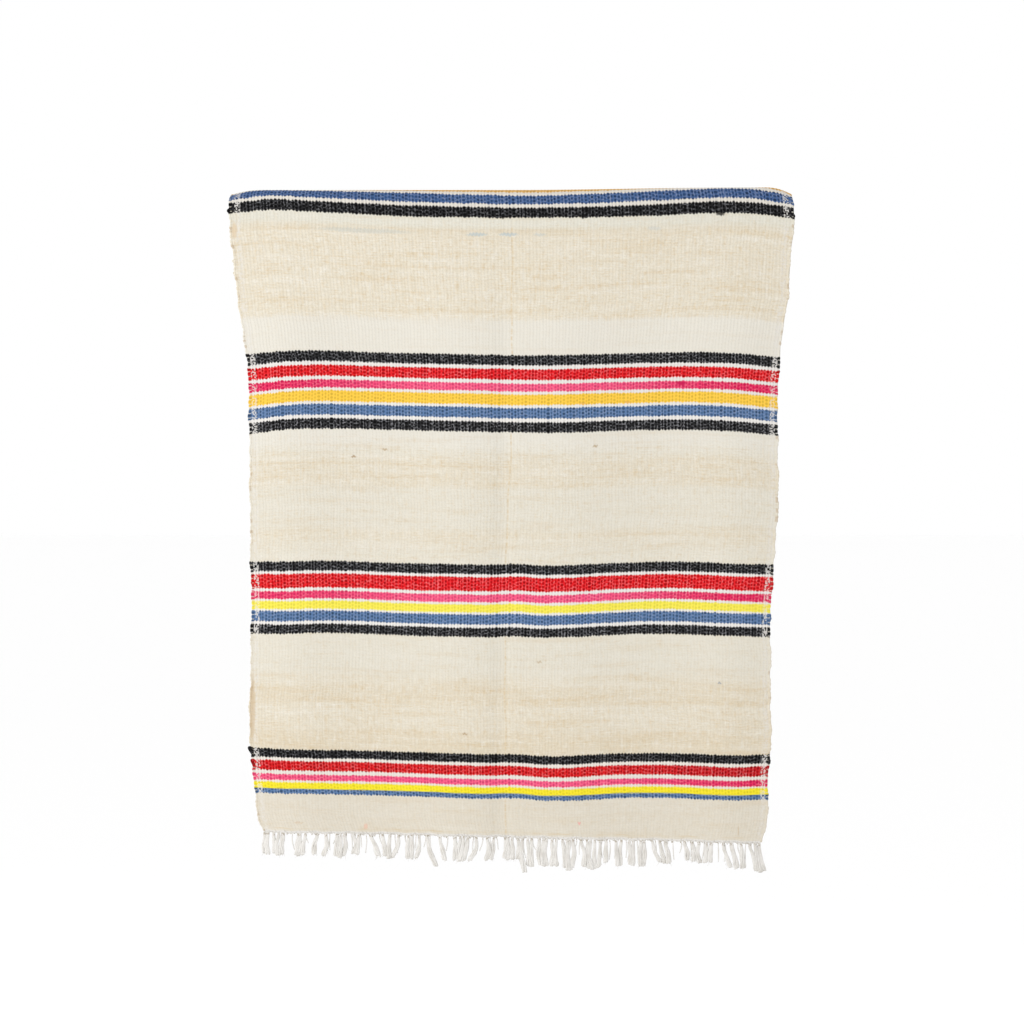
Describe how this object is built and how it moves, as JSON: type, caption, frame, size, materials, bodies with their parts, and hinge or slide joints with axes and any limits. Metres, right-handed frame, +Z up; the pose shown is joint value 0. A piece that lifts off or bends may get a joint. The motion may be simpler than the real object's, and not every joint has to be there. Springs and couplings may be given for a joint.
{
  "type": "hung berber rug",
  "caption": "Striped wool flatweave rug hung folded over a rail, with bright bands across a cream ground and a plied cotton fringe along both ends.",
  "frame": {"origin": "on the underside of the fold at mid width, where the top of a rail touches the cloth", "axes": "+X to the right seen from the front, +Y from the front drop to the back drop, +Z up"},
  "size_m": [1.2965, 0.0722, 1.5807],
  "materials": {
    "wool_weave": "matte",
    "fringe_yarn": "matte"
  },
  "bodies": {
    "root": {"rug_cloth": "wool_weave", "front_fringe": "fringe_yarn", "back_fringe": "fringe_yarn"}
  },
  "joints": []
}
